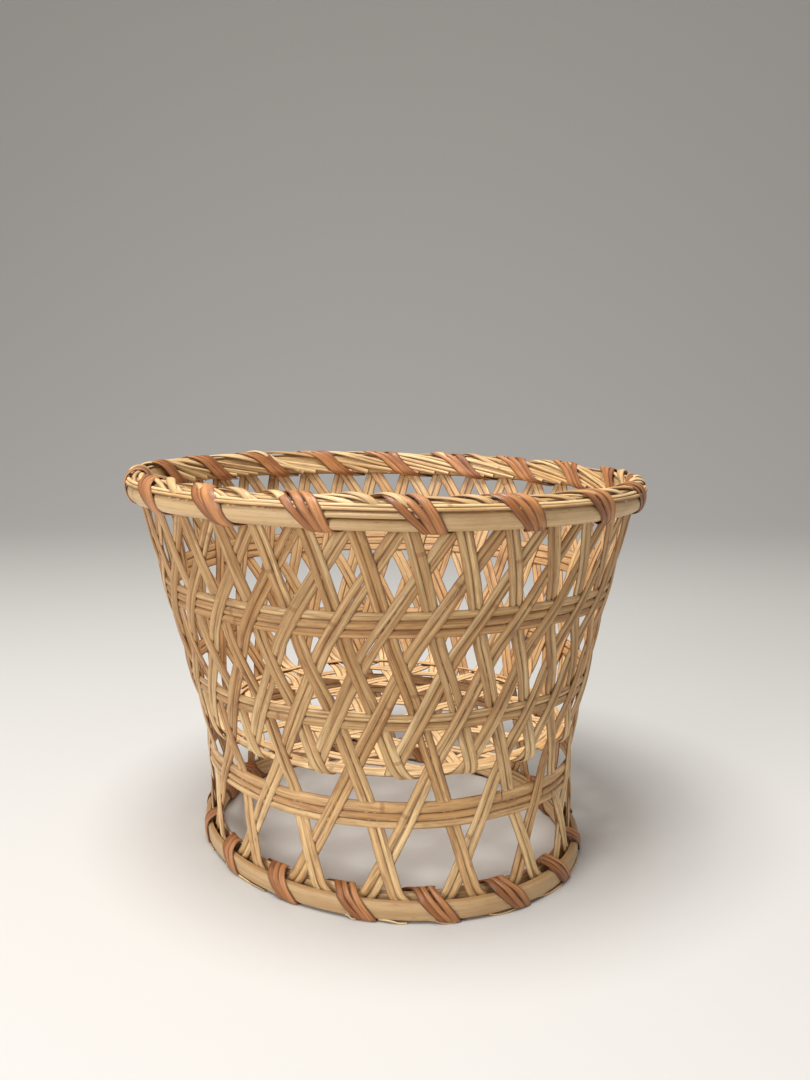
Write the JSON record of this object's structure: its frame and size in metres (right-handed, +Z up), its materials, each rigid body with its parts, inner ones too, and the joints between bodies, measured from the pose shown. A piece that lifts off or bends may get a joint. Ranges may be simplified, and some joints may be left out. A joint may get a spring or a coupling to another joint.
{
  "type": "bamboo dish basket",
  "caption": "Open dish-draining basket of split bamboo in a hexagonal weave, with a raised woven floor, a tall open foot and bark-lashed hoops at rim and foot.",
  "frame": {"origin": "middle of the foot ring, on the surface that the basket stands on", "axes": "+Z up through the mouth, -Y towards the pictured front, +X to the right of that view"},
  "size_m": [0.3136, 0.3124, 0.231],
  "materials": {
    "strand_bamboo": "satin dried bamboo",
    "floor_bamboo": "matte split bamboo",
    "hoop_bamboo": "smooth satin bamboo skin",
    "lashing_bark": "matte bark strip"
  },
  "bodies": {
    "root": {"foot_stake_01": "strand_bamboo", "foot_stake_02": "strand_bamboo", "foot_stake_03": "strand_bamboo", "foot_stake_04": "strand_bamboo", "foot_stake_05": "strand_bamboo", "foot_stake_06": "strand_bamboo", "foot_stake_07": "strand_bamboo", "foot_stake_08": "strand_bamboo", "foot_stake_09": "strand_bamboo", "foot_stake_10": "strand_bamboo", "foot_stake_11": "strand_bamboo", "foot_stake_12": "strand_bamboo", "foot_stake_13": "strand_bamboo", "foot_stake_14": "strand_bamboo", "foot_stake_15": "strand_bamboo", "foot_stake_16": "strand_bamboo", "foot_stake_17": "strand_bamboo", "foot_stake_18": "strand_bamboo", "floor_strand_01": "floor_bamboo", "floor_strand_02": "floor_bamboo", "floor_strand_03": "floor_bamboo", "floor_strand_04": "floor_bamboo", "floor_strand_05": "floor_bamboo", "floor_strand_06": "floor_bamboo", "floor_strand_07": "floor_bamboo", "floor_strand_08": "floor_bamboo", "floor_strand_09": "floor_bamboo", "floor_strand_10": "floor_bamboo", "floor_strand_11": "floor_bamboo", "floor_strand_12": "floor_bamboo", "floor_strand_13": "floor_bamboo", "floor_strand_14": "floor_bamboo", "floor_strand_15": "floor_bamboo", "floor_strand_16": "floor_bamboo", "floor_strand_17": "floor_bamboo", "floor_strand_18": "floor_bamboo", "foot_band_1": "strand_bamboo", "foot_band_2": "strand_bamboo", "foot_band_3": "strand_bamboo", "middle_band_1": "strand_bamboo", "middle_band_2": "strand_bamboo", "upper_band_1": "strand_bamboo", "upper_band_2": "strand_bamboo", "upper_band_3": "strand_bamboo", "rim_hoop_outer": "hoop_bamboo", "rim_hoop_inner": "hoop_bamboo", "rim_filler": "hoop_bamboo", "foot_hoop_outer": "hoop_bamboo", "foot_hoop_inner": "hoop_bamboo", "rim_lashing": "lashing_bark", "foot_lashing": "lashing_bark"}
  },
  "joints": []
}
